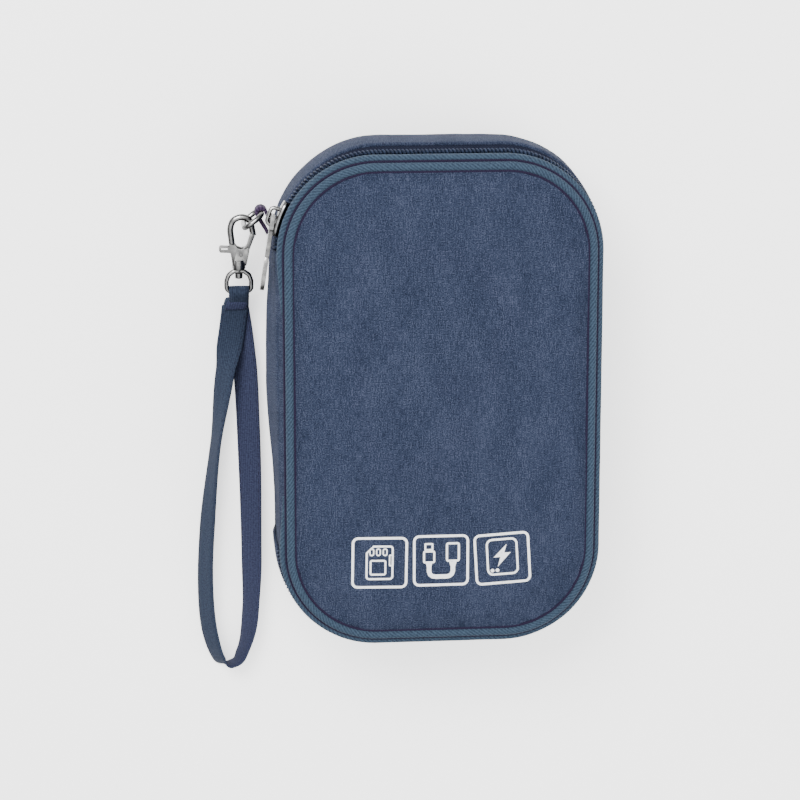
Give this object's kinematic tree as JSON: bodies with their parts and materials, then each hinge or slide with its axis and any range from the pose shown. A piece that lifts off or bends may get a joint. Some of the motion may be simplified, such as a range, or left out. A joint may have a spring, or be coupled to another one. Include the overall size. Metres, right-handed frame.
{
  "type": "cable organizer pouch",
  "caption": "Rounded zip case for cables and small chargers, with a hinged padded lid, elastic loops, pockets and a clip-on wrist strap.",
  "frame": {"origin": "centre of the back panel's outer face, which rests on the surface", "axes": "+Z out of the front panel, +Y towards the pouch's top end, +X towards its right side"},
  "size_m": [0.1515, 0.2088, 0.0503],
  "materials": {
    "shell_fabric": "heathered oxford weave",
    "piping_twill": "diagonal twill",
    "zip_tape": "herringbone tape",
    "zip_coil": "nylon coil",
    "lining": "smooth lining",
    "elastic": "ribbed elastic",
    "mesh": "knitted mesh",
    "print_white": "screen print",
    "zip_metal": "polished nickel plate",
    "strap_fabric": "fine woven ribbon"
  },
  "bodies": {
    "case": {"back_panel": "shell_fabric", "back_piping": "piping_twill", "back_gusset": "shell_fabric", "spine": "shell_fabric", "back_zip_tape": "zip_tape", "back_zip_coil": "zip_coil", "back_lining": "lining", "elastic_band_upper": "elastic", "elastic_band_lower": "elastic", "bank_pocket": "lining", "strap_tab": "strap_fabric"},
    "lid": {"front_panel": "shell_fabric", "front_lining": "lining", "front_piping": "piping_twill", "lid_gusset": "piping_twill", "front_zip_tape": "zip_tape", "front_zip_coil": "zip_coil", "icon_card": "print_white", "icon_cable": "print_white", "icon_power": "print_white", "mesh_pocket": "mesh", "mesh_binding": "elastic", "card_pocket": "lining"},
    "slider": {"slider_body": "zip_metal", "slider_crown": "zip_metal"},
    "puller": {"puller": "zip_metal"},
    "ring": {"d_ring": "zip_metal"},
    "clasp": {"clasp_body": "zip_metal", "gate_pin": "zip_metal"},
    "gate": {"clasp_gate": "zip_metal"},
    "swivel": {"swivel_eye": "zip_metal"},
    "strap": {"strap_fold": "strap_fabric", "strap_loop": "strap_fabric"}
  },
  "joints": [
    {"name": "lid_open", "type": "hinge", "parent": "case", "child": "lid", "pos_m": [-0.0566, 0, 0.0476], "axis": [0, -1, 0], "range_deg": [0, 180]},
    {"name": "slider_travel", "type": "hinge", "parent": "case", "child": "slider", "pos_m": [-0.024, 0.0565, 0.038], "axis": [0, 0, -1], "range_deg": [0, 58]},
    {"name": "puller_flip", "type": "hinge", "parent": "slider", "child": "puller", "pos_m": [-0.06178, 0.07025, 0.038], "axis": [0, 0, -1], "range_deg": [0, 150]},
    {"name": "ring_swing", "type": "hinge", "parent": "case", "child": "ring", "pos_m": [-0.0652, 0.0688, 0.017], "axis": [0, 0, -1], "range_deg": [0, 70]},
    {"name": "clasp_lift", "type": "hinge", "parent": "ring", "child": "clasp", "pos_m": [-0.07166, 0.06375, 0.017], "axis": [1, 0, 0], "range_deg": [-45, 0]},
    {"name": "gate_press", "type": "hinge", "parent": "clasp", "child": "gate", "pos_m": [-0.07286, 0.0527, 0.01465], "axis": [0, -0.2079, 0.9781], "range_deg": [0, 20], "stiffness_Nm_per_rad": 0.01},
    {"name": "swivel_turn", "type": "hinge", "parent": "clasp", "child": "swivel", "pos_m": [-0.07366, 0.04781, 0.01361], "axis": [0, 0.9781, 0.2079], "range_deg": [-90, 0]},
    {"name": "strap_lift", "type": "hinge", "parent": "swivel", "child": "strap", "pos_m": [-0.07366, 0.03754, 0.01143], "axis": [1, 0, 0], "range_deg": [-75, 0]}
  ]
}
